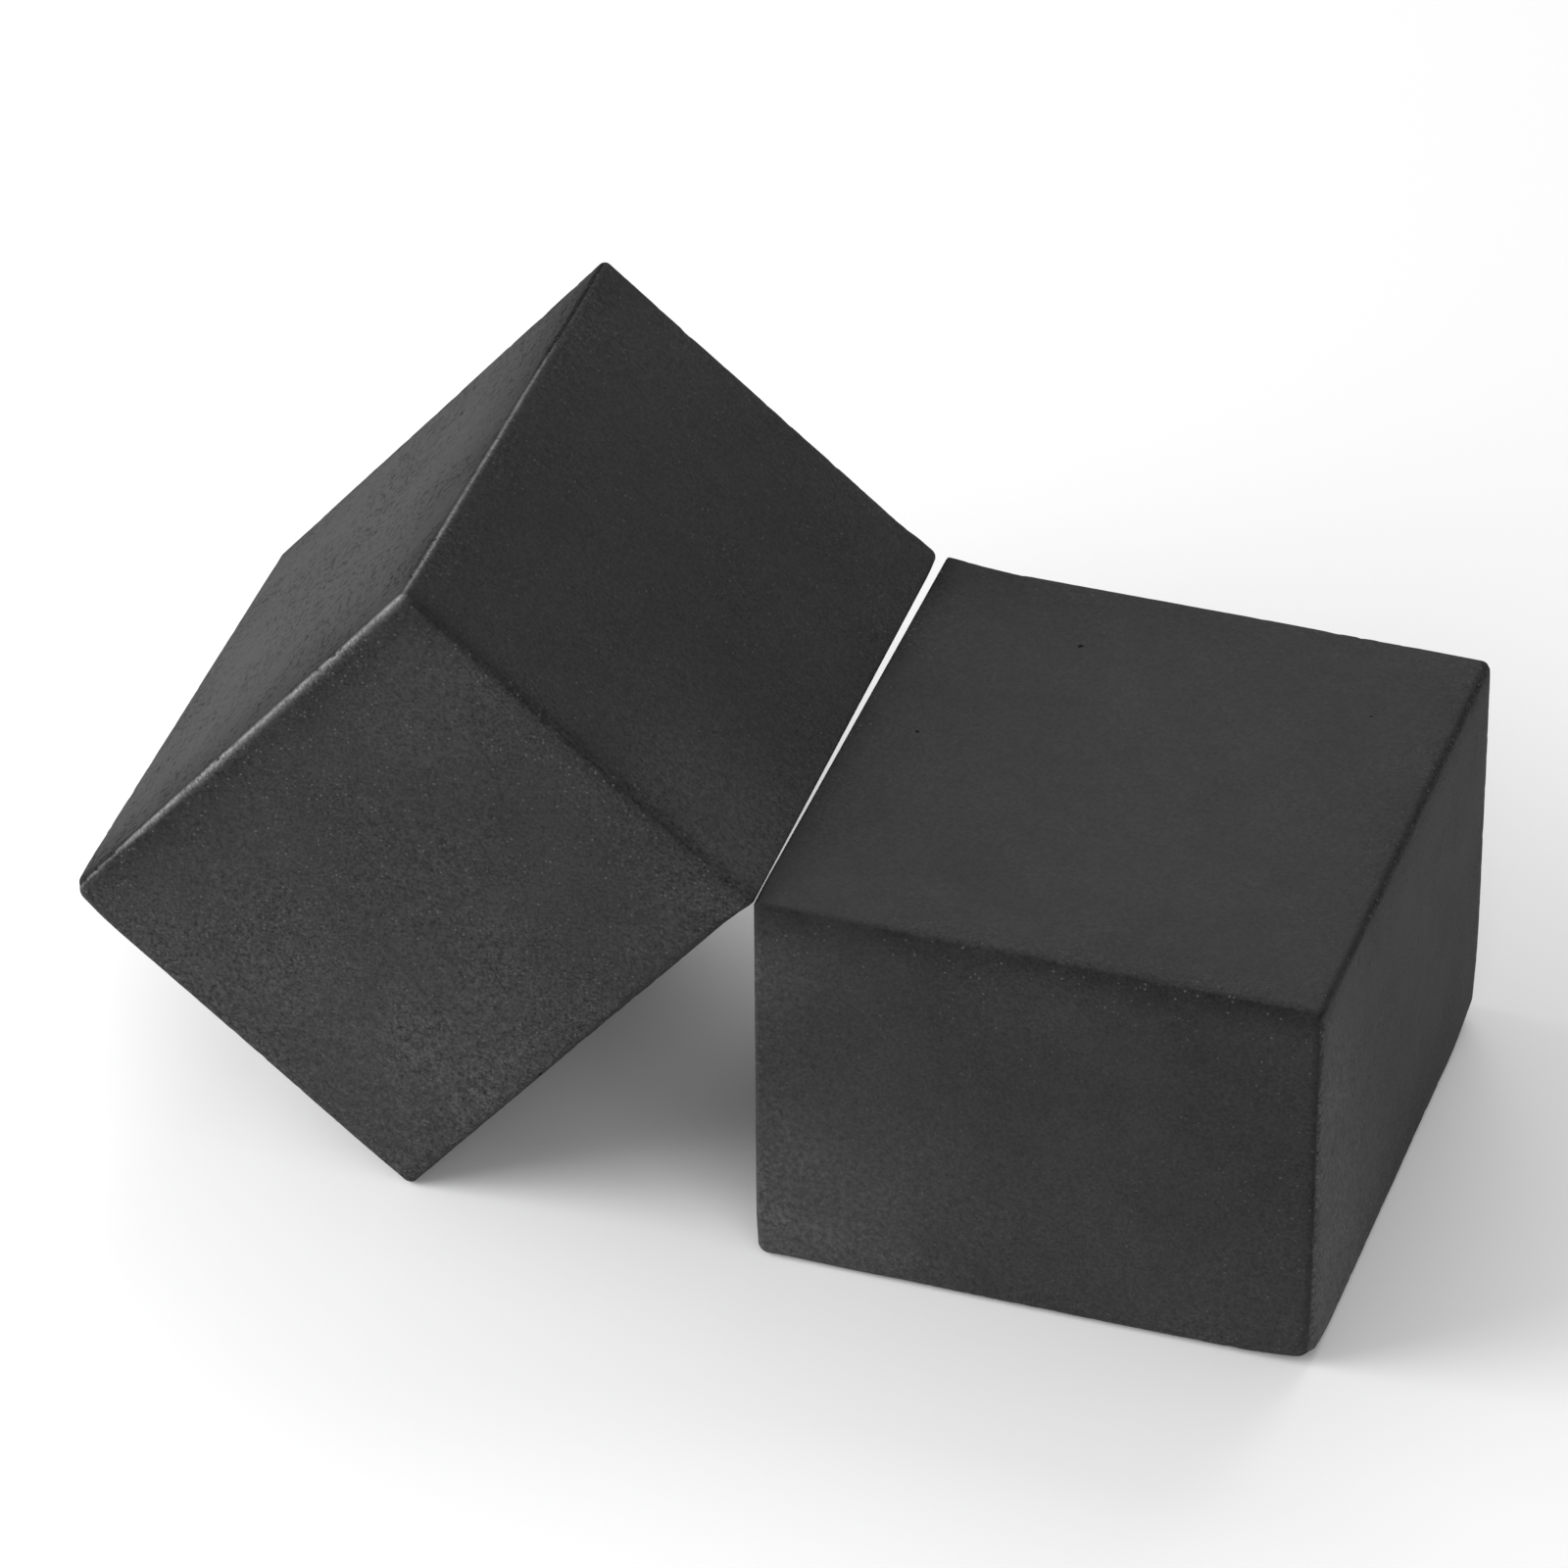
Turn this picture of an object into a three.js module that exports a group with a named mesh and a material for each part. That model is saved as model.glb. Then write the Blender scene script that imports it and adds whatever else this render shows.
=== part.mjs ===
// A pair of compressed charcoal drawing blocks: one lies flat and the other is tipped against it.
//
// Millimetres, +Z up. The origin is the centre of the flat block's underside. +X runs from the
// leaning block towards the flat one, and +Y runs from the front faces to the back.

import * as THREE from 'three';
import { RoundedBoxGeometry } from 'three/addons/geometries/RoundedBoxGeometry.js';

// Both blocks are pressed in the same die, which gives them the same width and depth. The powder
// that was filled in sets how far the die closes, so their thicknesses differ a little.
const DIE_WIDTH = 50;
const DIE_DEPTH = 54;
const FLAT_THICKNESS = 38;
const LEANING_THICKNESS = 40;

// Edges rubbed round by pressing and handling.
const EDGE_RADIUS = 0.9;
const EDGE_STEPS = 4;

// How the second block leans: its die faces tip over from the vertical, and its back end is
// turned a little away from the flat block, which leaves a thin wedge of air between them.
const LEAN = THREE.MathUtils.degToRad(39.7);
const TURN = THREE.MathUtils.degToRad(0.8);
const FORWARD_SHIFT = 0.4;
const CONTACT_GAP = 0.3;

const CHARCOAL = { color: 0x3a3a3a, roughness: 0.9, metalness: 0 };

function charcoalBlock(name, width, depth, height) {
  const geometry = new RoundedBoxGeometry(width, depth, height, EDGE_STEPS, EDGE_RADIUS);
  const block = new THREE.Mesh(geometry, new THREE.MeshStandardMaterial(CHARCOAL));
  block.name = name;
  return block;
}

// Lowers or raises a turned block until its lowest point is at the surface it stands on.
function standOnSurface(block) {
  const box = new THREE.Box3().setFromObject(block, true);
  block.position.z -= box.min.z;
}

// Slides the leaning block along X until its lower die face clears the flat block's upper left
// edge by the contact gap. The turn brings the face nearest at the edge's front end.
function leanAgainstEdge(block) {
  const normal = new THREE.Vector3(1, 0, 0).applyEuler(block.rotation);
  const pointOnFace = block.position.clone().addScaledVector(normal, LEANING_THICKNESS / 2);
  const edgeCentre = new THREE.Vector3(
    EDGE_RADIUS - DIE_WIDTH / 2,
    EDGE_RADIUS - DIE_DEPTH / 2,
    FLAT_THICKNESS - EDGE_RADIUS,
  );
  const clearance = edgeCentre.sub(pointOnFace).dot(normal);
  block.position.x += (clearance - EDGE_RADIUS - CONTACT_GAP) / normal.x;
}

const flatBlock = charcoalBlock('flat_block', DIE_WIDTH, DIE_DEPTH, FLAT_THICKNESS);
flatBlock.position.z = FLAT_THICKNESS / 2;

const leaningBlock = charcoalBlock('leaning_block', LEANING_THICKNESS, DIE_DEPTH, DIE_WIDTH);
leaningBlock.rotation.set(0, LEAN, TURN, 'ZYX');
leaningBlock.position.y = -FORWARD_SHIFT;
standOnSurface(leaningBlock);
leanAgainstEdge(leaningBlock);

const charcoalBlocks = new THREE.Group();
charcoalBlocks.add(flatBlock, leaningBlock);

export default charcoalBlocks;
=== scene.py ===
"""A pair of compressed charcoal drawing blocks, given their worn shape and their finish.

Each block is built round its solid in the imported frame: a finely divided box whose edges are
rubbed round, whose faces roll off, wave and pit, and whose skin carries the painted measures
that the charcoal finish reads. Lengths in the classes are millimetres, and meshes are metres.
"""

import logging
import math
import random
from dataclasses import dataclass, field
from enum import Enum

import bmesh
import bpy
import numpy as np
from mathutils import Matrix, Quaternion, Vector, noise


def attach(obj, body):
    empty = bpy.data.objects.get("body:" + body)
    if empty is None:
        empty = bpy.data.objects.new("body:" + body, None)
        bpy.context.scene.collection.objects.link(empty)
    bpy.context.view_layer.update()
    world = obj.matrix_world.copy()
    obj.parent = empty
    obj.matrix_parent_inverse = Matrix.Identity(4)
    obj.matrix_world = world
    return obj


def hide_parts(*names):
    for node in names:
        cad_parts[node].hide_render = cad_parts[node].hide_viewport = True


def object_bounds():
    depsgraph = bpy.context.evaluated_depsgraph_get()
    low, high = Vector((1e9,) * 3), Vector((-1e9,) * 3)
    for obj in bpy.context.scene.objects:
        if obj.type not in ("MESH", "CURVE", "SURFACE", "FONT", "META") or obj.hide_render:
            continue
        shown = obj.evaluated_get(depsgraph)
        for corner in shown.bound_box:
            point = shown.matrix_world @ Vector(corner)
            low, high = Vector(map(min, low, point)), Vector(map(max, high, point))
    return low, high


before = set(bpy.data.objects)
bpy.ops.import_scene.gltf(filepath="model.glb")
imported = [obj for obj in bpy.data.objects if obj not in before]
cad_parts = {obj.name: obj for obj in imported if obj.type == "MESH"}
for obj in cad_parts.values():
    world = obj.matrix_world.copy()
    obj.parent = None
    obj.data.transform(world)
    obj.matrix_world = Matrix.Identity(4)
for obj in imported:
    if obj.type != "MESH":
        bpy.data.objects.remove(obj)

LOG = logging.getLogger("charcoal_blocks")
MM = 0.001
CAD_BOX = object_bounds()
# A face is broad if it has this share of the broadest one's area.
BROAD_SHARE = 0.25
# Two directions are taken as one if their cosine is above this.
SAME_WAY = 0.99
# A point nearer than this to a side's plane lies on the side, in mm.
ON_SIDE = 1e-3
# The Mix node's colour sockets, by number, because its sockets share their names.
MIX_A, MIX_B, MIX_RESULT = 6, 7, 2


def linear(hex_colour: str) -> tuple[float, float, float, float]:
    """Turns an sRGB hex colour into the linear colour that shaders take.

    Args:
        hex_colour: Six hex digits, such as "2f2f2f".

    Returns:
        Red, green, blue and an alpha of 1.
    """
    channels = [int(hex_colour[i:i + 2], 16) / 255 for i in (0, 2, 4)]
    return (*(c / 12.92 if c <= 0.04045 else ((c + 0.055) / 1.055) ** 2.4 for c in channels), 1.0)


def per_metre(size_mm: float) -> float:
    """Gives the texture scale whose pattern repeats every size_mm millimetres."""
    return 1 / (size_mm * MM)


class Skin(Enum):
    """The measures painted on each point of a block, which the finish reads by name."""

    SANDY = "sandy"
    # A burnish, which also paints a pale highlight into the colour.
    BURNISH_AND_PAINTED_HIGHLIGHT = "burnish_and_painted_highlight"
    # Painted shade.
    PAINTED_SHADE = "painted_shade"
    # Pale dust, and painted light on the lower parts of the sides and on the tops.
    DUST_AND_PAINTED_LIGHT = "dust_and_painted_light"
    PITTED = "pitted"


class Side(Enum):
    """A face of a block in the block's own axes: the axis it faces along, and which way."""

    LEFT = (0, -1)
    RIGHT = (0, 1)
    FRONT = (1, -1)
    BACK = (1, 1)
    UNDER = (2, -1)
    TOP = (2, 1)


# --- finish -------------------------------------------------------------------------------------


@dataclass
class NodeBoard:
    """A material's node tree, with one method that adds a node."""

    material: bpy.types.Material

    def __post_init__(self) -> None:
        """Clears the tree that a new material starts with."""
        self.material.use_nodes = True
        self.material.node_tree.nodes.clear()

    def add(self, kind: str, settings: dict | None = None, inputs: dict | None = None) -> bpy.types.Node:
        """Adds a node with its settings, its values and the links into it.

        Args:
            kind: The node's type, without the ShaderNode prefix.
            settings: Properties of the node itself.
            inputs: A value or an output socket for each input, by name or number.

        Returns:
            The new node.
        """
        tree = self.material.node_tree
        node = tree.nodes.new("ShaderNode" + kind)
        for name, value in (settings or {}).items():
            setattr(node, name, value)
        for key, value in (inputs or {}).items():
            if isinstance(value, bpy.types.NodeSocket):
                tree.links.new(value, node.inputs[key])
            else:
                node.inputs[key].default_value = value
        return node


@dataclass(frozen=True)
class Ramp:
    """A straight line that turns one measure into another: measure * gain + offset."""

    gain: float
    offset: float

    def of(self, measure: np.ndarray) -> np.ndarray:
        """Gives the line's value for each measure."""
        return measure * self.gain + self.offset


@dataclass(frozen=True)
class PressedCharcoal:
    """Charcoal powder pressed with a little binder: matt, neutral and almost black.

    The press burnishes the middle of a face smooth, and leaves it sandy towards the edges, where
    grains crumble away. Single grains of ash and mineral catch the light as pale flecks.
    """

    name: str = "Compressed_charcoal_pressed"
    body_hex: str = "2a2a2a"
    cloud_hex: str = "333333"
    # Pale dust, and also painted light: it pales the lower parts of the sides, where light bounces up
    # from the table, and the tops.
    dust_and_light_hex: str = "4a4a4a"
    # Painted shade along edges, in creases and corners, and over shaded parts of some faces.
    painted_shade_hex: str = "131313"
    # Painted highlight along the burnished rim of the pressed face.
    painted_highlight_hex: str = "747474"
    fleck_hex: str = "4c4c4c"
    # Painted shade in the pin holes and crumbled spots.
    hole_shade_hex: str = "121212"
    # Binder and carbon are dull: a typical IOR, with its mirror light mostly lost in the pores.
    ior: float = 1.45
    specular_level: float = 0.12
    sheen: float = 0.01
    sheen_roughness: float = 0.4
    # Roughness of the burnished skin, and what sand, holes and hands add to it or take away.
    roughness: float = 0.56
    grain_dryness: float = 0.12
    sandy_dryness: float = 0.22
    hole_dryness: float = 0.4
    rubbed_gloss: float = 0.16
    # Sizes of the patterns on a real block.
    grain_mm: float = 0.28
    clump_mm: float = 0.6
    fleck_mm: float = 0.38
    hole_mm: float = 1.1
    crumb_mm: float = 0.55
    cloud_mm: float = 11.0
    mottle_mm: float = 2.6
    # How strongly each pattern shows.
    cloud_tone: Ramp = Ramp(1.6, -0.7)
    mottle_tone: float = 0.8
    clumping: float = 0.2
    dust_heaps: Ramp = Ramp(1.7, 0.15)
    sand_contrast: Ramp = Ramp(2.6, 0.8)
    sand_darkest: float = 0.35
    fleck_limit: Ramp = Ramp(-0.26, 0.985)
    fleck_gain: float = 9.0
    fleck_rim: tuple[float, float] = (0.42, 0.14)
    hole_width: Ramp = Ramp(0.22, 0.09)
    hole_rim: tuple[float, float] = (1.0, 0.4)
    hole_raggedness: float = 0.4
    crumb_rim: tuple[float, float] = (0.47, 0.36)
    # Relief, in parts of the bump's full depth.
    sand_height: Ramp = Ramp(0.9, 0.15)
    fleck_height: float = 0.5
    hole_height: float = -2.0
    bump_strength: float = 0.6
    bump_mm: float = 0.07

    def build(self) -> bpy.types.Material:
        """Makes the material.

        Returns:
            The finished material.
        """
        board = NodeBoard(bpy.data.materials.new(self.name))
        place = board.add("TexCoord").outputs["Object"]
        skin = {
            kind: board.add("Attribute", {"attribute_name": kind.value}).outputs["Fac"] for kind in Skin
        }
        grain = board.add("TexNoise", None, {
            "Vector": place, "Scale": per_metre(self.grain_mm), "Detail": 1.5, "Roughness": 0.6,
        }).outputs["Fac"]
        clump = board.add("TexNoise", None, {
            "Vector": place, "Scale": per_metre(self.clump_mm), "Detail": 1.0, "Roughness": 0.5,
        }).outputs["Fac"]
        single = board.add("Math", {"operation": "MULTIPLY"}, {0: grain, 1: 1 - self.clumping}).outputs[0]
        grain = board.add("Math", {"operation": "MULTIPLY_ADD"},
                          {0: clump, 1: self.clumping, 2: single}).outputs[0]
        colour = self._body_colour(board, place, clump, skin[Skin.DUST_AND_PAINTED_LIGHT])
        colour = self._edge_colour(board, colour, skin[Skin.BURNISH_AND_PAINTED_HIGHLIGHT], skin[Skin.PAINTED_SHADE])
        colour = self._sand(board, colour, grain, skin[Skin.SANDY])
        colour, fleck = self._flecks(board, place, colour, skin[Skin.SANDY])
        colour, hole = self._holes(board, place, colour, skin[Skin.PITTED])
        shader = board.add("BsdfPrincipled", None, {
            "Base Color": colour,
            "Roughness": self._dryness(board, grain, skin[Skin.SANDY], skin[Skin.BURNISH_AND_PAINTED_HIGHLIGHT], hole),
            "Normal": self._relief(board, grain, skin[Skin.SANDY], fleck, hole),
            "IOR": self.ior,
            "Specular IOR Level": self.specular_level,
            "Sheen Weight": self.sheen,
            "Sheen Roughness": self.sheen_roughness,
        })
        board.add("OutputMaterial", None, {"Surface": shader.outputs["BSDF"]})
        return board.material

    def _body_colour(self, board: NodeBoard, place: bpy.types.NodeSocket, clump: bpy.types.NodeSocket,
                     dust_and_painted_light: bpy.types.NodeSocket) -> bpy.types.NodeSocket:
        """Mixes the body colour, its slow clouds and mottling, and the pale dust on it, which also paints
        light onto the lower parts of the sides and onto the tops.

        Args:
            board: The material's nodes.
            place: The point on the block.
            clump: The noise of grains that cling together.
            dust_and_painted_light: How much pale dust and painted light the skin holds there.

        Returns:
            The colour socket.
        """
        clouds = board.add("TexNoise", None, {
            "Vector": place, "Scale": per_metre(self.cloud_mm), "Detail": 3.0, "Roughness": 0.55,
        }).outputs["Fac"]
        mottle = board.add("TexNoise", None, {
            "Vector": place, "Scale": per_metre(self.mottle_mm), "Detail": 3.0, "Roughness": 0.6,
        }).outputs["Fac"]
        tone = board.add("Math", {"operation": "MULTIPLY_ADD"}, {
            0: clouds, 1: self.cloud_tone.gain, 2: self.cloud_tone.offset,
        }).outputs[0]
        tone = board.add("Math", {"operation": "MULTIPLY_ADD", "use_clamp": True}, {
            0: mottle, 1: self.mottle_tone, 2: tone,
        }).outputs[0]
        body = board.add("Mix", {"data_type": "RGBA"}, {
            "Factor": tone, MIX_A: linear(self.body_hex), MIX_B: linear(self.cloud_hex),
        }).outputs[MIX_RESULT]
        heaped = board.add("Math", {"operation": "MULTIPLY_ADD"}, {
            0: clump, 1: self.dust_heaps.gain, 2: self.dust_heaps.offset,
        }).outputs[0]
        pale_dust_and_light = board.add("Math", {"operation": "MULTIPLY", "use_clamp": True}, {
            0: dust_and_painted_light, 1: heaped,
        }).outputs[0]
        # Pale dust, and painted light where it pales the lower parts of the sides and the tops.
        return board.add("Mix", {"data_type": "RGBA"}, {
            "Factor": pale_dust_and_light, MIX_A: body, MIX_B: linear(self.dust_and_light_hex),
        }).outputs[MIX_RESULT]

    def _edge_colour(self, board: NodeBoard, colour: bpy.types.NodeSocket,
                     burnish_and_painted_highlight: bpy.types.NodeSocket, painted_shade: bpy.types.NodeSocket) -> bpy.types.NodeSocket:
        """Paints shade onto the edges, creases and shaded corners and faces, and paints a pale highlight
        along the burnished edges.

        Args:
            board: The material's nodes.
            colour: The body's colour.
            burnish_and_painted_highlight: How burnished the skin is there, which also paints a pale
                highlight.
            painted_shade: How much shade is painted there.

        Returns:
            The colour socket.
        """
        # Painted shade.
        dark = board.add("Mix", {"data_type": "RGBA"}, {
            "Factor": painted_shade, MIX_A: colour, MIX_B: linear(self.painted_shade_hex),
        }).outputs[MIX_RESULT]
        # Painted highlight along the burnished edges.
        return board.add("Mix", {"data_type": "RGBA"}, {
            "Factor": burnish_and_painted_highlight, MIX_A: dark, MIX_B: linear(self.painted_highlight_hex),
        }).outputs[MIX_RESULT]

    def _sand(self, board: NodeBoard, colour: bpy.types.NodeSocket, grain: bpy.types.NodeSocket,
              sandy: bpy.types.NodeSocket) -> bpy.types.NodeSocket:
        """Lightens and darkens the skin grain by grain.

        Args:
            board: The material's nodes.
            colour: The skin's colour so far.
            grain: The sand's own noise.
            sandy: How sandy the skin is there.

        Returns:
            The colour socket.
        """
        contrast = board.add("Math", {"operation": "MULTIPLY_ADD"}, {
            0: sandy, 1: self.sand_contrast.gain, 2: self.sand_contrast.offset,
        }).outputs[0]
        swing = board.add("Math", {"operation": "SUBTRACT"}, {0: grain, 1: 0.5}).outputs[0]
        gain = board.add("Math", {"operation": "MULTIPLY_ADD"}, {
            0: swing, 1: contrast, 2: 1.0,
        }).outputs[0]
        gain = board.add("Math", {"operation": "MAXIMUM"}, {0: gain, 1: self.sand_darkest}).outputs[0]
        return board.add("VectorMath", {"operation": "SCALE"}, {0: colour, "Scale": gain}).outputs[0]

    def _flecks(self, board: NodeBoard, place: bpy.types.NodeSocket, colour: bpy.types.NodeSocket,
                sandy: bpy.types.NodeSocket) -> tuple[bpy.types.NodeSocket, bpy.types.NodeSocket]:
        """Scatters pale grains, sparse on a smooth skin and thick on a sandy one.

        Args:
            board: The material's nodes.
            place: The point on the block.
            colour: The skin's colour so far.
            sandy: How sandy the skin is there.

        Returns:
            The colour socket, and how much of a grain each point is.
        """
        cells = board.add("TexVoronoi", {"voronoi_dimensions": "3D", "feature": "F1"}, {
            "Vector": place, "Scale": per_metre(self.fleck_mm), "Randomness": 1.0,
        })
        chance = board.add("SeparateColor", None, {0: cells.outputs["Color"]}).outputs[0]
        near = board.add("MapRange", {"interpolation_type": "SMOOTHSTEP"}, {
            "Value": cells.outputs["Distance"],
            "From Min": self.fleck_rim[0], "From Max": self.fleck_rim[1], "To Min": 0.0, "To Max": 1.0,
        }).outputs[0]
        limit = board.add("Math", {"operation": "MULTIPLY_ADD"}, {
            0: sandy, 1: self.fleck_limit.gain, 2: self.fleck_limit.offset,
        }).outputs[0]
        over = board.add("Math", {"operation": "SUBTRACT"}, {0: chance, 1: limit}).outputs[0]
        bright = board.add("Math", {"operation": "MULTIPLY", "use_clamp": True}, {
            0: over, 1: self.fleck_gain,
        }).outputs[0]
        fleck = board.add("Math", {"operation": "MULTIPLY"}, {0: bright, 1: near}).outputs[0]
        return board.add("Mix", {"data_type": "RGBA"}, {
            "Factor": fleck, MIX_A: colour, MIX_B: linear(self.fleck_hex),
        }).outputs[MIX_RESULT], fleck

    def _holes(self, board: NodeBoard, place: bpy.types.NodeSocket, colour: bpy.types.NodeSocket,
               pitted: bpy.types.NodeSocket) -> tuple[bpy.types.NodeSocket, bpy.types.NodeSocket]:
        """Pricks pin holes where coarse grains have dropped out, and fine crumbled spots, and paints
        shade into them.

        Args:
            board: The material's nodes.
            place: The point on the block.
            colour: The skin's colour so far.
            pitted: How many of the grains have dropped out there.

        Returns:
            The colour socket, and how deep in a hole each point is.
        """
        bent = board.add("TexNoise", None, {
            "Vector": place, "Scale": per_metre(self.hole_mm / 2), "Detail": 1.0,
        }).outputs["Color"]
        ragged = board.add("VectorMath", {"operation": "MULTIPLY_ADD"}, {
            0: bent, 1: (self.hole_raggedness * self.hole_mm * MM,) * 3, 2: place,
        }).outputs[0]
        cells = board.add("TexVoronoi", {"voronoi_dimensions": "3D", "feature": "F1"}, {
            "Vector": ragged, "Scale": per_metre(self.hole_mm), "Randomness": 1.0,
        })
        chance = board.add("SeparateColor", None, {0: cells.outputs["Color"]}).outputs
        width = board.add("Math", {"operation": "MULTIPLY_ADD"}, {
            0: chance[2], 1: self.hole_width.gain, 2: self.hole_width.offset,
        }).outputs[0]
        away = board.add("Math", {"operation": "DIVIDE"}, {
            0: cells.outputs["Distance"], 1: width,
        }).outputs[0]
        near = board.add("MapRange", {"interpolation_type": "SMOOTHSTEP"}, {
            "Value": away,
            "From Min": self.hole_rim[0], "From Max": self.hole_rim[1], "To Min": 0.0, "To Max": 1.0,
        }).outputs[0]
        dropped = board.add("Math", {"operation": "LESS_THAN"}, {0: chance[1], 1: pitted}).outputs[0]
        hole = board.add("Math", {"operation": "MULTIPLY"}, {0: dropped, 1: near}).outputs[0]
        crumb = board.add("TexNoise", None, {
            "Vector": place, "Scale": per_metre(self.crumb_mm), "Detail": 2.0, "Roughness": 0.6,
        }).outputs["Fac"]
        crumbled = board.add("MapRange", {"interpolation_type": "SMOOTHSTEP"}, {
            "Value": crumb,
            "From Min": self.crumb_rim[0], "From Max": self.crumb_rim[1], "To Min": 0.0, "To Max": 1.0,
        }).outputs[0]
        crumbled = board.add("Math", {"operation": "MULTIPLY"}, {0: crumbled, 1: pitted}).outputs[0]
        hole = board.add("Math", {"operation": "MAXIMUM"}, {0: hole, 1: crumbled}).outputs[0]
        # Painted shade in the pin holes and crumbled spots, which the bump also sinks.
        return board.add("Mix", {"data_type": "RGBA"}, {
            "Factor": hole, MIX_A: colour, MIX_B: linear(self.hole_shade_hex),
        }).outputs[MIX_RESULT], hole

    def _dryness(self, board: NodeBoard, grain: bpy.types.NodeSocket, sandy: bpy.types.NodeSocket,
                 burnish_and_painted_highlight: bpy.types.NodeSocket, hole: bpy.types.NodeSocket) -> bpy.types.NodeSocket:
        """Gives a dry roughness that rises with the sand, and drops where the edges are burnished.

        Args:
            board: The material's nodes.
            grain: The sand's own noise.
            sandy: How sandy the skin is there.
            burnish_and_painted_highlight: How burnished the skin is there.
            hole: How deep in a hole each point is.

        Returns:
            The roughness socket.
        """
        mean = self.roughness - self.grain_dryness / 2
        dry = board.add("Math", {"operation": "MULTIPLY_ADD"},
                        {0: grain, 1: self.grain_dryness, 2: mean}).outputs[0]
        dry = board.add("Math", {"operation": "MULTIPLY_ADD"},
                        {0: sandy, 1: self.sandy_dryness, 2: dry}).outputs[0]
        dry = board.add("Math", {"operation": "MULTIPLY_ADD"},
                        {0: hole, 1: self.hole_dryness, 2: dry}).outputs[0]
        return board.add("Math", {"operation": "MULTIPLY_ADD", "use_clamp": True},
                         {0: burnish_and_painted_highlight, 1: -self.rubbed_gloss, 2: dry}).outputs[0]

    def _relief(self, board: NodeBoard, grain: bpy.types.NodeSocket, sandy: bpy.types.NodeSocket,
                fleck: bpy.types.NodeSocket, hole: bpy.types.NodeSocket) -> bpy.types.NodeSocket:
        """Raises the sand and the pale grains, and sinks the pin holes.

        Args:
            board: The material's nodes.
            grain: The sand's own noise.
            sandy: How sandy the skin is there.
            fleck: How much of a pale grain each point is.
            hole: How deep in a hole each point is.

        Returns:
            The normal socket.
        """
        roughened = board.add("Math", {"operation": "MULTIPLY_ADD"}, {
            0: sandy, 1: self.sand_height.gain, 2: self.sand_height.offset,
        }).outputs[0]
        raised = board.add("Math", {"operation": "MULTIPLY"}, {0: fleck, 1: self.fleck_height}).outputs[0]
        height = board.add("Math", {"operation": "MULTIPLY_ADD"},
                           {0: grain, 1: roughened, 2: raised}).outputs[0]
        height = board.add("Math", {"operation": "MULTIPLY_ADD"},
                           {0: hole, 1: self.hole_height, 2: height}).outputs[0]
        return board.add("Bump", None, {
            "Strength": self.bump_strength, "Distance": self.bump_mm * MM, "Height": height,
        }).outputs["Normal"]


# --- blocks -------------------------------------------------------------------------------------


@dataclass(frozen=True)
class BlockAxes:
    """Where a block's solid lies in the frame: its centre, its own axes and its sizes, in mm."""

    centre: Vector
    axes: Matrix
    size: Vector

    @classmethod
    def from_solid(cls, node: str) -> "BlockAxes":
        """Reads the block's axes off the six broad flat faces of its solid.

        Args:
            node: The solid's name in the frame.

        Returns:
            The block's axes, each the one nearest to the frame's own X, Y or Z.
        """
        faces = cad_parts[node].data.polygons
        broad = max(face.area for face in faces) * BROAD_SHARE
        flats = [(face.normal.copy(), face.center / MM) for face in faces if face.area > broad]
        axes, size, centre = [], [], Vector()
        for axis in range(3):
            normal = max((n for n, _ in flats), key=lambda n: n[axis])
            ends = [point.dot(normal) for n, point in flats if abs(n.dot(normal)) > SAME_WAY]
            axes.append(normal)
            size.append(max(ends) - min(ends))
            centre += normal * (max(ends) + min(ends)) / 2
        return cls(centre, Matrix(axes).transposed(), Vector(size))

    def to_frame(self) -> Matrix:
        """Gives the transform from the block's own millimetres to the frame's metres."""
        return Matrix.Scale(MM, 4) @ Matrix.Translation(self.centre) @ self.axes.to_4x4()


@dataclass(frozen=True)
class Knock:
    """A corner that has been knocked rounder than the rest: the three sides that meet there."""

    corner: tuple[int, int, int]
    radius: float
    reach: float


@dataclass(frozen=True)
class CrispEdge:
    """An edge still as crisp as the die left it: the two sides that meet there."""

    first: Side
    second: Side
    radius: float = 0.3
    reach: float = 3.0


@dataclass(frozen=True)
class EdgeBand:
    """A painted band along the edge between two sides.

    The band's strength falls away from the edge, over one distance on each of the two sides.
    """

    first: Side
    second: Side
    first_reach: float
    second_reach: float
    strength: float
    skin: Skin


@dataclass(frozen=True)
class Patch:
    """A soft-edged patch of one measure about a point, on one side or, for None, on all of them.

    The point is given along the block's own axes, from -1 at one edge to 1 at the other. A
    strength below 0 takes the measure away.
    """

    side: Side | None
    about: tuple[float, float, float]
    reach: float
    strength: float
    skin: Skin


@dataclass(frozen=True)
class SideFinish:
    """How one side came out of the press."""

    sandy: float = 0.5
    pitted: float = 0.004
    pits: int = 18
    roll_reach: float = 2.5


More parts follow.
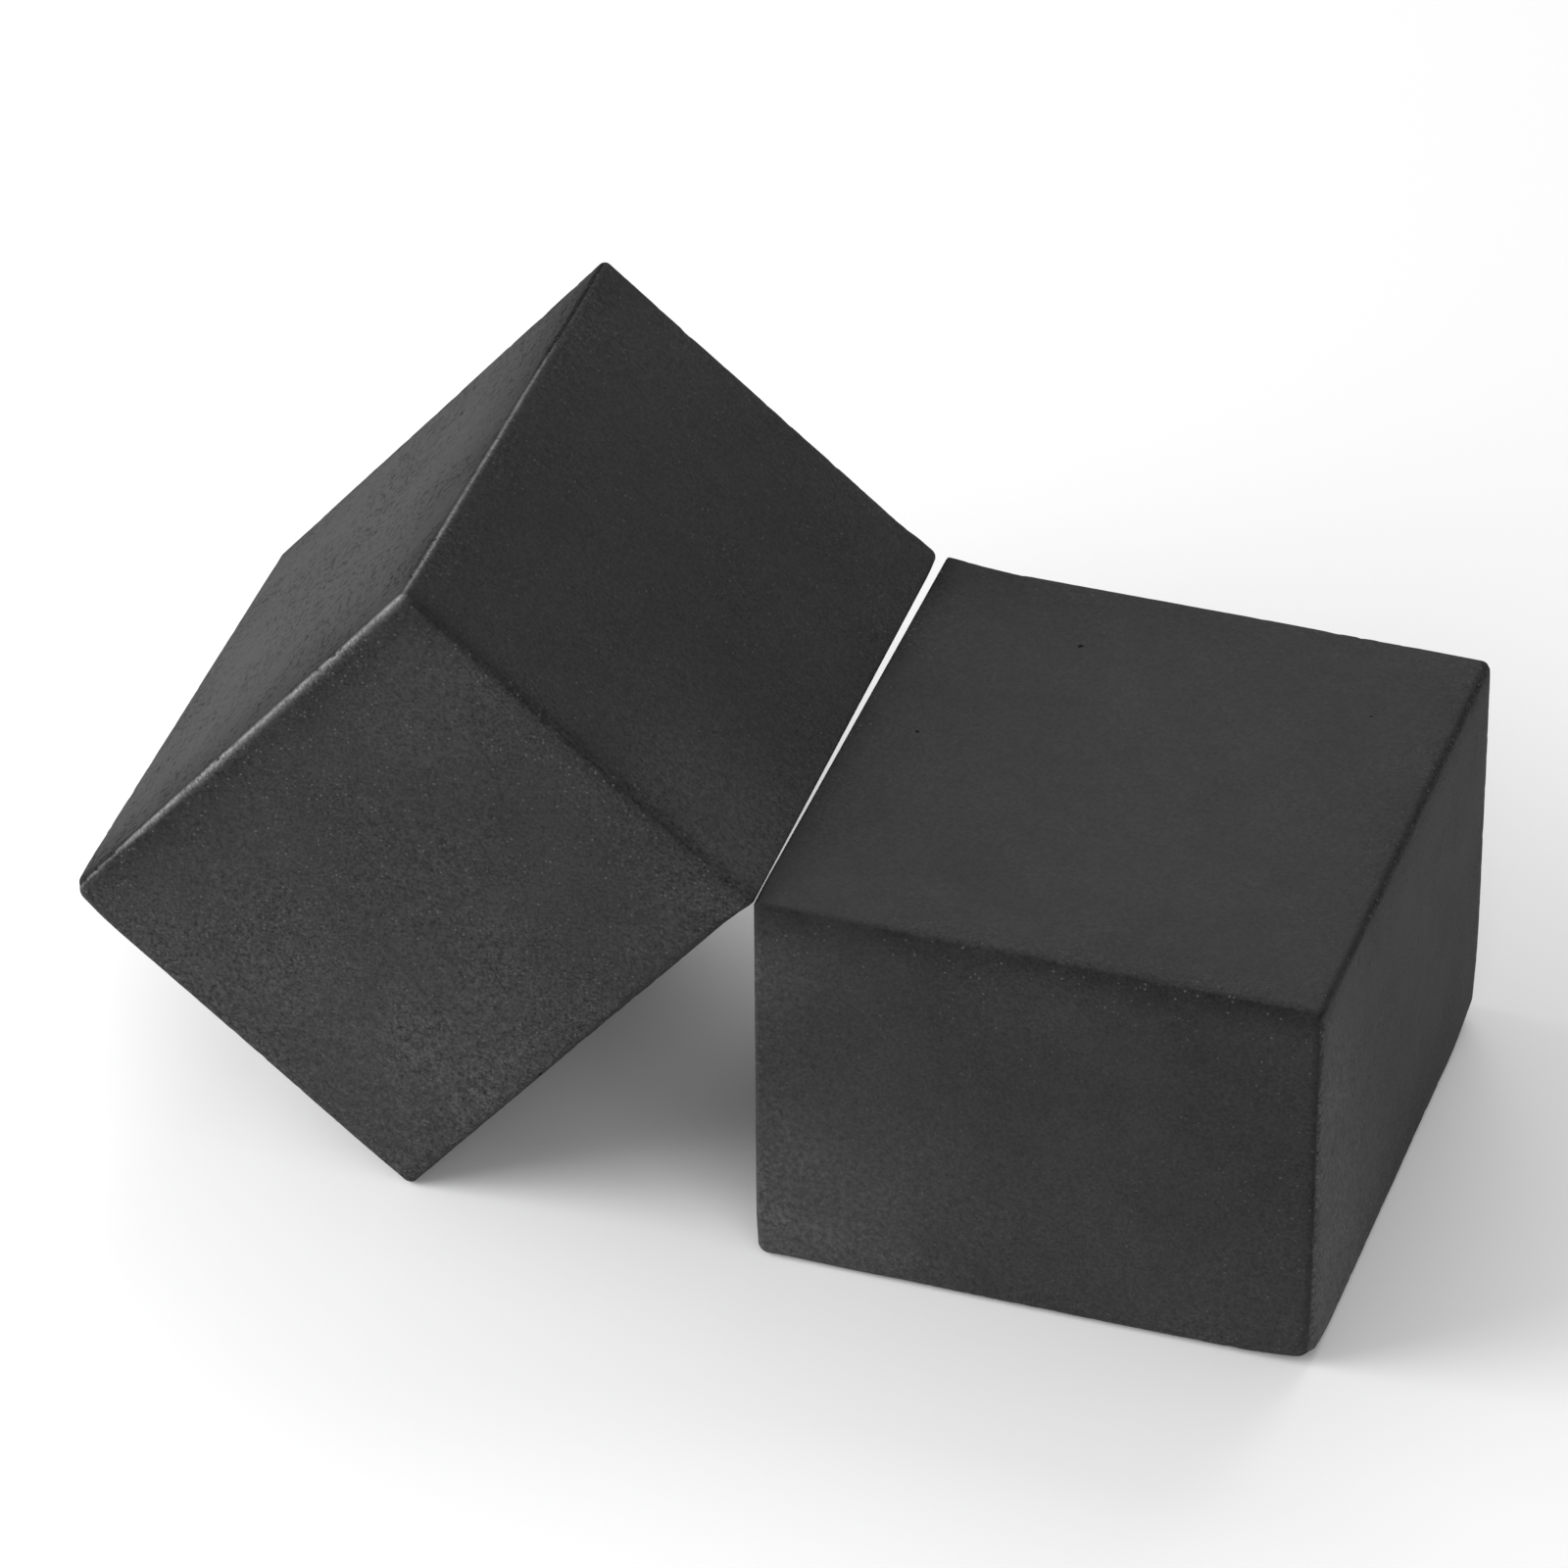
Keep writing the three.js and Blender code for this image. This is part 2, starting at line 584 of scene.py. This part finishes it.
@dataclass
class CharcoalBlock:
    """One pressed block, with its wear, and the light and shade painted on its skin."""

    name: str
    body: str
    seed: int
    knocks: tuple[Knock, ...]
    crisp: tuple[CrispEdge, ...]
    bands: tuple[EdgeBand, ...]
    patches: tuple[Patch, ...]
    sides: dict[Side, SideFinish]
    # The radius that hands rub the edges to, and how it comes and goes along them.
    edge_radius: float = 0.7
    radius_spread: float = 0.5
    radius_length: float = 9.0
    # The mesh's cells: a fixed count in a band along each edge, and coarser ones between.
    edge_band: float = 2.4
    edge_cells: int = 12
    cell: float = 0.43
    # The slow unevenness of the skin, and how far each measure follows it.
    unevenness: Ramp = Ramp(1.1, 0.5)
    uneven_length: float = 9.0
    uneven_sand: Ramp = Ramp(0.4, 0.6)
    uneven_edge_sand: Ramp = Ramp(1.0, 0.4)
    uneven_pitting: Ramp = Ramp(1.2, 0.4)
    uneven_patch: Ramp = Ramp(0.4, 0.8)
    uneven_band: Ramp = Ramp(0.3, 0.9)
    edge_sand: float = 0.35
    edge_sand_reach: float = 2.5
    band_length: float = 3.0
    # Depths of the wear, and the size of what each kind of wear leaves.
    roll_depth: float = 0.13
    wave_depth: float = 0.05
    wave_length: float = 13.0
    peel_depth: float = 0.016
    peel_length: float = 2.2
    crust_depth: float = 0.03
    crust_length: float = 1.1
    crumble_depth: float = 0.22
    crumble_length: float = 1.6
    crumble_reach: float = 0.7
    crumble_start: float = 0.15
    pit_radius: tuple[float, float] = (0.3, 0.75)
    pit_depth: float = 0.12
    pit_share: tuple[float, float] = (0.4, 1.0)
    # How far apart the blocks' noises may start, so that no two blocks wear alike.
    noise_span: float = 500
    half: np.ndarray = field(init=False, repr=False)
    dice: random.Random = field(init=False, repr=False)
    offset: Vector = field(init=False, repr=False)

    def build(self, material: bpy.types.Material) -> bpy.types.Object:
        """Builds the block's mesh, paints its skin and puts it in its place.

        Args:
            material: The charcoal finish.

        Returns:
            The finished piece.
        """
        axes = BlockAxes.from_solid(self.name)
        self.half = np.array(axes.size) / 2
        self.dice = random.Random(self.seed)
        span = self.noise_span
        self.offset = Vector([self.dice.uniform(-span, span) for _ in range(3)])
        box = self._divided_box()
        points = self._crowd_to_edges(np.array([vertex.co for vertex in box.verts]))
        skins = self._paint(points)
        shaped, outward = self._round_edges(points)
        shaped -= outward * self._wear(points, skins)[:, None]
        for vertex, place in zip(box.verts, shaped):
            vertex.co = place
        for skin, values in skins.items():
            layer = box.verts.layers.float.new(skin.value)
            for vertex, value in zip(box.verts, values):
                vertex[layer] = value
        bmesh.ops.transform(box, matrix=axes.to_frame(), verts=box.verts)
        for face in box.faces:
            face.smooth = True
        mesh = bpy.data.meshes.new(self.name + "_worn")
        box.to_mesh(mesh)
        box.free()
        mesh.materials.append(material)
        piece = bpy.data.objects.new(self.name + "_worn", mesh)
        bpy.context.scene.collection.objects.link(piece)
        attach(piece, self.body)
        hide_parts(self.name)
        LOG.info("%s: %d points, %d faces", piece.name, len(mesh.vertices), len(mesh.polygons))
        return piece

    def _cells_along(self, axis: int) -> int:
        """Counts the cells along one axis: fixed near the two edges, and even between them."""
        middle = 2 * (self.half[axis] - self.edge_band)
        return 2 * self.edge_cells + round(middle / self.cell)

    def _divided_box(self) -> bmesh.types.BMesh:
        """Divides a cube into the cells of all six sides.

        Returns:
            A cube of side 2 about its own centre.
        """
        box = bmesh.new()
        bmesh.ops.create_cube(box, size=2.0)
        for axis in range(3):
            along = [e for e in box.edges if abs(e.verts[0].co[axis] - e.verts[1].co[axis]) > 1]
            cuts = self._cells_along(axis) - 1
            bmesh.ops.subdivide_edges(box, edges=along, cuts=cuts, use_grid_fill=True)
        return box

    def _crowd_to_edges(self, points: np.ndarray) -> np.ndarray:
        """Stretches the divided cube to the block's size, with its cells crowded at the edges.

        Args:
            points: The cube's points, each axis from -1 to 1.

        Returns:
            The points in millimetres about the block's centre.
        """
        placed = np.empty_like(points)
        for axis in range(3):
            step = 2 * self.edge_cells / self._cells_along(axis)
            half, inner = self.half[axis], self.half[axis] - self.edge_band
            placed[:, axis] = np.interp(points[:, axis], [-1, step - 1, 1 - step, 1],
                                        [-half, -inner, inner, half])
        return placed

    def _noise(self, points: np.ndarray, length: float, octaves: int = 1) -> np.ndarray:
        """Samples smooth noise of a given length at each point.

        Args:
            points: Points in millimetres.
            length: The size of the noise's swells, in millimetres.
            octaves: How many finer layers it has, each of half the length and strength.

        Returns:
            A value for each point, mostly from -1 to 1.
        """
        places = [Vector(p) / length + self.offset for p in points]
        if octaves == 1:
            return np.array([noise.noise(p) for p in places])
        return np.array([noise.fractal(p, 1.0, 2.0, octaves) for p in places])

    def _swell(self, points: np.ndarray, length: float, octaves: int = 1) -> np.ndarray:
        """Samples the same noise, moved to lie mostly from 0 to 1.

        Args:
            points: Points in millimetres.
            length: The size of the noise's swells, in millimetres.
            octaves: How many finer layers it has.

        Returns:
            A value for each point, mostly from 0 to 1.
        """
        return 0.5 + 0.5 * self._noise(points, length, octaves)

    def _gaps(self, points: np.ndarray) -> np.ndarray:
        """Measures how far each point lies inside the planes of the sides, axis by axis."""
        return self.half - np.abs(points)

    def _radius(self, points: np.ndarray) -> np.ndarray:
        """Gives the radius that edges near each point are rubbed to.

        Args:
            points: Points on the sharp box.

        Returns:
            A radius for each point.
        """
        radius = self.edge_radius * (1 + self.radius_spread * self._swell(points, self.radius_length))
        for edge in self.crisp:
            radius += (edge.radius - radius) * self._nearness(points, edge)
        for knock in self.knocks:
            away = np.linalg.norm(points - self.half * np.array(knock.corner), axis=1)
            radius += (knock.radius - self.edge_radius) * np.exp(-(away / knock.reach) ** 2)
        return radius

    def _edge_gaps(self, points: np.ndarray, first: Side, second: Side) -> tuple[np.ndarray, np.ndarray]:
        """Measures how far each point lies inside the planes of two sides.

        Args:
            points: Points on the sharp box.
            first: One side.
            second: The other side.

        Returns:
            The distances from the first side's plane, and from the second's.
        """
        (axis_a, sign_a), (axis_b, sign_b) = first.value, second.value
        gap_a = self.half[axis_a] - sign_a * points[:, axis_a]
        gap_b = self.half[axis_b] - sign_b * points[:, axis_b]
        return gap_a, gap_b

    def _nearness(self, points: np.ndarray, edge: CrispEdge) -> np.ndarray:
        """Tells how near each point is to a crisp edge.

        Args:
            points: Points on the sharp box.
            edge: The crisp edge.

        Returns:
            A value for each point, from 0 far away to 1 on the edge.
        """
        gap_a, gap_b = self._edge_gaps(points, edge.first, edge.second)
        return np.exp(-(gap_a ** 2 + gap_b ** 2) / edge.reach ** 2)

    def _round_edges(self, points: np.ndarray) -> tuple[np.ndarray, np.ndarray]:
        """Draws the points near the edges in to a rounding of uneven radius.

        Args:
            points: Points on the sharp box.

        Returns:
            The rounded points, and the way out of the block at each.
        """
        radius = self._radius(points)[:, None]
        core = np.clip(points, radius - self.half, self.half - radius)
        outward = points - core
        outward /= np.linalg.norm(outward, axis=1)[:, None]
        return core + outward * radius, outward

    def _on_side(self, points: np.ndarray, side: Side) -> np.ndarray:
        """Tells which points lie on a side."""
        axis, sign = side.value
        return sign * points[:, axis] > self.half[axis] - ON_SIDE

    def _by_side(self, points: np.ndarray, measure: str) -> np.ndarray:
        """Looks up one of the sides' own numbers for each point.

        Args:
            points: Points on the sharp box.
            measure: The number's name in SideFinish.

        Returns:
            The number of the side that each point lies on, and the highest along an edge.
        """
        values = np.zeros(len(points))
        for side in Side:
            number = getattr(self.sides.get(side, SideFinish()), measure)
            values = np.maximum(values, number * self._on_side(points, side))
        return values

    def _paint(self, points: np.ndarray) -> dict[Skin, np.ndarray]:
        """Works out the skin's measures at each point.

        Args:
            points: Points on the sharp box.

        Returns:
            For each measure, a value from 0 to 1 at each point.
        """
        edge = np.sort(self._gaps(points), axis=1)[:, 1]
        uneven = np.clip(self.unevenness.of(self._noise(points, self.uneven_length, 3)), 0, 1)
        skins = {skin: np.zeros(len(points)) for skin in Skin}
        skins[Skin.SANDY] = self._by_side(points, "sandy") * self.uneven_sand.of(uneven)
        crumbling = self.edge_sand * np.exp(-edge / self.edge_sand_reach)
        skins[Skin.SANDY] += crumbling * self.uneven_edge_sand.of(uneven)
        skins[Skin.PITTED] = self._by_side(points, "pitted") * self.uneven_pitting.of(uneven)
        for band in self.bands:
            skins[band.skin] = np.maximum(skins[band.skin], self._band(points, band))
        for patch in self.patches:
            away = np.linalg.norm(points - self.half * np.array(patch.about), axis=1)
            fade = np.exp(-(away / patch.reach) ** 2) * self.uneven_patch.of(uneven)
            if patch.side is not None:
                fade *= self._on_side(points, patch.side)
            skins[patch.skin] += patch.strength * fade
        return {skin: np.clip(values, 0, 1) for skin, values in skins.items()}

    def _band(self, points: np.ndarray, band: EdgeBand) -> np.ndarray:
        """Measures one painted band.

        Args:
            points: Points on the sharp box.
            band: The band.

        Returns:
            Its strength at each point.
        """
        gap_a, gap_b = self._edge_gaps(points, band.first, band.second)
        fade = np.exp(-(gap_b / band.first_reach) ** 2 - (gap_a / band.second_reach) ** 2)
        uneven = np.clip(self.uneven_band.of(self._noise(points, self.band_length, 3)), 0, 1)
        return band.strength * fade * uneven

    def _wear(self, points: np.ndarray, skins: dict[Skin, np.ndarray]) -> np.ndarray:
        """Adds up how deep the surface is worn in at each point.

        Args:
            points: Points on the sharp box.
            skins: The skin's measures.

        Returns:
            A depth in millimetres, never negative.
        """
        edge = np.sort(self._gaps(points), axis=1)[:, 1]
        roll = self.roll_depth * np.clip(1 - edge / self._by_side(points, "roll_reach"), 0, 1) ** 2
        wave = self.wave_depth * self._swell(points, self.wave_length)
        peel = self.peel_depth * self._swell(points, self.peel_length, 2)
        crust = self.crust_depth * self._swell(points, self.crust_length, 2)
        crust *= skins[Skin.SANDY]
        loose = np.exp(-edge / self.crumble_reach) * (1 - skins[Skin.BURNISH_AND_PAINTED_HIGHLIGHT])
        lost = np.clip(self._noise(points, self.crumble_length, 3) - self.crumble_start, 0, 1)
        crumble = self.crumble_depth * loose * lost
        depth = roll + wave + peel + crust + crumble
        for crisp in self.crisp:
            depth *= 1 - self._nearness(points, crisp)
        depth += self._pit_depths(points)
        return np.clip(depth, 0, None)

    def _pit_depths(self, points: np.ndarray) -> np.ndarray:
        """Scatters shallow round pits over the sides.

        Args:
            points: Points on the sharp box.

        Returns:
            The depth of the pit at each point, or 0.
        """
        depth = np.zeros(len(points))
        for side in Side:
            axis, sign = side.value
            near = np.flatnonzero(self._on_side(points, side))
            for _ in range(self.sides.get(side, SideFinish()).pits):
                centre = np.array([self.dice.uniform(-h, h) for h in self.half])
                centre[axis] = sign * self.half[axis]
                radius = self.dice.uniform(*self.pit_radius)
                away = np.linalg.norm(points[near] - centre, axis=1) / radius
                deepest = self.dice.uniform(*self.pit_share) * self.pit_depth
                bowl = deepest * np.clip(1 - away ** 2, 0, 1) ** 2
                depth[near] = np.maximum(depth[near], bowl)
        return depth


# --- studio -------------------------------------------------------------------------------------


@dataclass(frozen=True)
class SoftLight:
    """A large soft panel, placed by its direction and distance from the blocks, in mm."""

    name: str
    azimuth: float
    elevation: float
    distance: float
    size: float
    power: float

    def build(self, aim: Vector) -> bpy.types.Object:
        """Hangs the light so that it faces the blocks.

        Args:
            aim: The blocks' centre, in metres.

        Returns:
            The light.
        """
        lamp = bpy.data.lights.new(self.name, "AREA")
        lamp.shape = "SQUARE"
        lamp.size = self.size * MM
        lamp.energy = self.power
        light = bpy.data.objects.new(self.name, lamp)
        bpy.context.scene.collection.objects.link(light)
        back = direction(self.azimuth, self.elevation)
        light.location = aim + back * self.distance * MM
        light.rotation_mode = "QUATERNION"
        light.rotation_quaternion = (-back).to_track_quat("-Z", "Y")
        return light


def direction(azimuth: float, elevation: float) -> Vector:
    """Gives the way from the blocks to something round them.

    Args:
        azimuth: Degrees round from the front, towards +X.
        elevation: Degrees above the surface.

    Returns:
        A unit vector.
    """
    a, e = math.radians(azimuth), math.radians(elevation)
    return Vector((math.sin(a) * math.cos(e), -math.cos(a) * math.cos(e), math.sin(e)))


@dataclass(frozen=True)
class Studio:
    """A pale table in a white room, with soft panels and a long lens."""

    floor_hex: str = "f8f8f8"
    floor_width: float = 6000
    floor_roughness: float = 0.9
    floor_specular: float = 0.1
    room_strength: float = 0.45
    azimuth: float = 18.65
    elevation: float = 36.08
    roll: float = -0.34
    distance: float = 850.3
    lens: float = 225
    sensor_width: float = 36
    nearest: float = 50
    farthest: float = 20000
    aim_right: float = 0.34
    aim_up: float = -0.90
    lights: tuple[SoftLight, ...] = (
        SoftLight("left_panel", -80, 35, 700, 500, 1.45),
        SoftLight("near_left_panel", -60, 20, 350, 250, 1.0),
        SoftLight("right_panel", 32, 25, 700, 500, 1.2),
        SoftLight("back_panel", 180, 45, 700, 500, 1.7),
    )

    def build(self) -> None:
        """Sets up the floor, the room, the panels and the camera."""
        low, high = CAD_BOX
        centre = (low + high) / 2
        self._build_floor(low.z)
        self._build_room()
        for light in self.lights:
            light.build(centre)
        self._build_camera(centre)
        bpy.context.scene.view_settings.view_transform = "Standard"

    def _build_floor(self, height: float) -> None:
        """Lays the pale table under the blocks.

        Args:
            height: The height of its surface, in metres.
        """
        sheet = bmesh.new()
        bmesh.ops.create_grid(sheet, x_segments=1, y_segments=1, size=self.floor_width * MM / 2)
        bmesh.ops.translate(sheet, vec=(0, 0, height), verts=sheet.verts)
        mesh = bpy.data.meshes.new("floor")
        sheet.to_mesh(mesh)
        sheet.free()
        board = NodeBoard(bpy.data.materials.new("Matt_white_table_laminate"))
        shader = board.add("BsdfPrincipled", None, {
            "Base Color": linear(self.floor_hex),
            "Roughness": self.floor_roughness,
            "Specular IOR Level": self.floor_specular,
        })
        board.add("OutputMaterial", None, {"Surface": shader.outputs["BSDF"]})
        mesh.materials.append(board.material)
        floor = bpy.data.objects.new("floor", mesh)
        bpy.context.scene.collection.objects.link(floor)

    def _build_room(self) -> None:
        """Fills the room with even white light."""
        world = bpy.data.worlds.new("white_room")
        world.use_nodes = True
        background = world.node_tree.nodes["Background"]
        background.inputs["Color"].default_value = (1, 1, 1, 1)
        background.inputs["Strength"].default_value = self.room_strength
        bpy.context.scene.world = world

    def _build_camera(self, centre: Vector) -> None:
        """Sets the camera on the blocks.

        Args:
            centre: The blocks' centre, in metres.
        """
        back = direction(self.azimuth, self.elevation)
        turn = (-back).to_track_quat("-Z", "Y")
        right, up = turn @ Vector((1, 0, 0)), turn @ Vector((0, 1, 0))
        aim = centre + (right * self.aim_right + up * self.aim_up) * MM
        lens = bpy.data.cameras.new("camera")
        lens.lens = self.lens
        lens.sensor_width = self.sensor_width
        lens.clip_start = self.nearest * MM
        lens.clip_end = self.farthest * MM
        camera = bpy.data.objects.new("camera", lens)
        camera.location = aim + back * self.distance * MM
        camera.rotation_mode = "QUATERNION"
        camera.rotation_quaternion = turn @ Quaternion((0, 0, 1), math.radians(self.roll))
        bpy.context.scene.collection.objects.link(camera)
        bpy.context.scene.camera = camera


# --- the pair -----------------------------------------------------------------------------------


BLOCKS = (
    CharcoalBlock(
        name="flat_block",
        body="flat_block",
        seed=11,
        knocks=(
            Knock((1, 1, -1), 3.0, 5.0),
            Knock((1, -1, -1), 1.9, 4.0),
            Knock((-1, -1, -1), 1.3, 3.0),
        ),
        crisp=(CrispEdge(Side.TOP, Side.LEFT), CrispEdge(Side.FRONT, Side.LEFT, 0.5, 2.5)),
        bands=(
            # Painted shade: dark bands under the top's front and right edges and along the front corner,
            # and a painted contact shadow along the top beside the leaning block.
            EdgeBand(Side.FRONT, Side.TOP, 2.6, 0.5, 0.6, Skin.PAINTED_SHADE),
            EdgeBand(Side.RIGHT, Side.TOP, 0.8, 0.6, 0.55, Skin.PAINTED_SHADE),
            EdgeBand(Side.FRONT, Side.RIGHT, 0.9, 0.4, 0.4, Skin.PAINTED_SHADE),
            EdgeBand(Side.TOP, Side.LEFT, 1.6, 0.8, 0.5, Skin.PAINTED_SHADE),
        ),
        patches=(
            # Pale dust and painted light: paler at the front's lower left, and a small pale spot at its
            # upper left.
            Patch(Side.FRONT, (-0.9, -1, -0.85), 14.0, 0.65, Skin.DUST_AND_PAINTED_LIGHT),
            Patch(Side.FRONT, (-1, -1, 0.6), 5.0, 0.3, Skin.DUST_AND_PAINTED_LIGHT),
            # Painted shade over the upper part of the front.
            Patch(Side.FRONT, (0.7, -1, 0.4), 16.0, 0.2, Skin.PAINTED_SHADE),
            Patch(Side.FRONT, (-0.6, -1, 0.6), 12.0, 0.1, Skin.PAINTED_SHADE),
            # Pale dust and painted light: paler along the bottom of the front and of the right side, near
            # the right side's front edge, and a little over the whole right side.
            Patch(Side.FRONT, (0.5, -1, -0.9), 14.0, 0.15, Skin.DUST_AND_PAINTED_LIGHT),
            Patch(Side.RIGHT, (1, -1, 0.4), 10.0, 0.55, Skin.DUST_AND_PAINTED_LIGHT),
            Patch(Side.RIGHT, (1, -0.9, -0.9), 16.0, 1.1, Skin.DUST_AND_PAINTED_LIGHT),
            Patch(Side.RIGHT, (1, 0, 0), 60.0, 0.1, Skin.DUST_AND_PAINTED_LIGHT),
            # Painted shadow in the top's back corner beside the leaning block.
            Patch(Side.TOP, (-1, 1, 1), 6.0, 0.35, Skin.PAINTED_SHADE),
            # Pale dust and painted light: the whole top a little paler.
            Patch(Side.TOP, (0, 0, 1), 60.0, 0.1, Skin.DUST_AND_PAINTED_LIGHT),
        ),
        sides={
            Side.TOP: SideFinish(sandy=0.12),
            Side.FRONT: SideFinish(sandy=0.3),
            Side.RIGHT: SideFinish(sandy=0.75),
        },
    ),
    CharcoalBlock(
        name="leaning_block",
        body="leaning_block",
        seed=23,
        knocks=(Knock((-1, -1, -1), 1.5, 3.0), Knock((1, 1, 1), 1.2, 2.0)),
        crisp=(CrispEdge(Side.TOP, Side.RIGHT),),
        bands=(
            # A burnish with a painted highlight along the rim of the pressed face.
            EdgeBand(Side.LEFT, Side.FRONT, 0.35, 0.6, 1.0, Skin.BURNISH_AND_PAINTED_HIGHLIGHT),
            EdgeBand(Side.LEFT, Side.TOP, 0.35, 0.32, 0.9, Skin.BURNISH_AND_PAINTED_HIGHLIGHT),
            # Painted shade: the pressed face darker towards its rim, a dark band on the front under the
            # rim, and the crease between the front and the top.
            EdgeBand(Side.LEFT, Side.FRONT, 11.0, 0.1, 0.9, Skin.PAINTED_SHADE),
            EdgeBand(Side.LEFT, Side.TOP, 10.0, 0.1, 0.9, Skin.PAINTED_SHADE),
            EdgeBand(Side.FRONT, Side.LEFT, 3.2, 0.1, 0.55, Skin.PAINTED_SHADE),
            EdgeBand(Side.TOP, Side.FRONT, 1.4, 1.0, 0.45, Skin.PAINTED_SHADE),
        ),
        patches=(
            # Pale dust and painted light: paler along the bottom of the front, on the lower front part of
            # the top and at its upper back corner.
            Patch(Side.FRONT, (-0.6, -1, -0.9), 12.0, 0.15, Skin.DUST_AND_PAINTED_LIGHT),
            Patch(Side.FRONT, (0.8, -1, -0.7), 18.0, 0.4, Skin.DUST_AND_PAINTED_LIGHT),
            Patch(Side.TOP, (0.8, -0.9, 1), 12.0, 0.4, Skin.DUST_AND_PAINTED_LIGHT),
            Patch(Side.TOP, (-0.9, 0.9, 1), 9.0, 0.25, Skin.DUST_AND_PAINTED_LIGHT),
            # Painted shade over the middle of the top.
            Patch(Side.TOP, (0.1, 0.1, 1), 20.0, 0.15, Skin.PAINTED_SHADE),
            # Pale dust and painted light: the whole top a little paler.
            Patch(Side.TOP, (0, 0, 1), 60.0, 0.08, Skin.DUST_AND_PAINTED_LIGHT),
            # Less burnish and painted highlight at two corners of the pressed face, where the rim's
            # highlight fades.
            Patch(None, (-1, 1, 1), 13.0, -1.5, Skin.BURNISH_AND_PAINTED_HIGHLIGHT),
            Patch(None, (-1, -1, -1), 11.0, -0.45, Skin.BURNISH_AND_PAINTED_HIGHLIGHT),
            # Painted shade at the corner where the rim's painted highlight fades out.
            Patch(None, (-1, 1, 1), 7.0, 0.5, Skin.PAINTED_SHADE),
        ),
        sides={
            Side.LEFT: SideFinish(sandy=0.15, pitted=0.42, pits=90, roll_reach=7.0),
            Side.FRONT: SideFinish(sandy=0.85),
            Side.TOP: SideFinish(sandy=0.4),
        },
    ),
)


def main() -> None:
    """Builds the blocks and the studio in order."""
    logging.basicConfig(level=logging.INFO, format="%(name)s: %(message)s")
    finish = PressedCharcoal().build()
    for block in BLOCKS:
        block.build(finish)
    Studio().build()


if __name__ == "__main__":
    main()
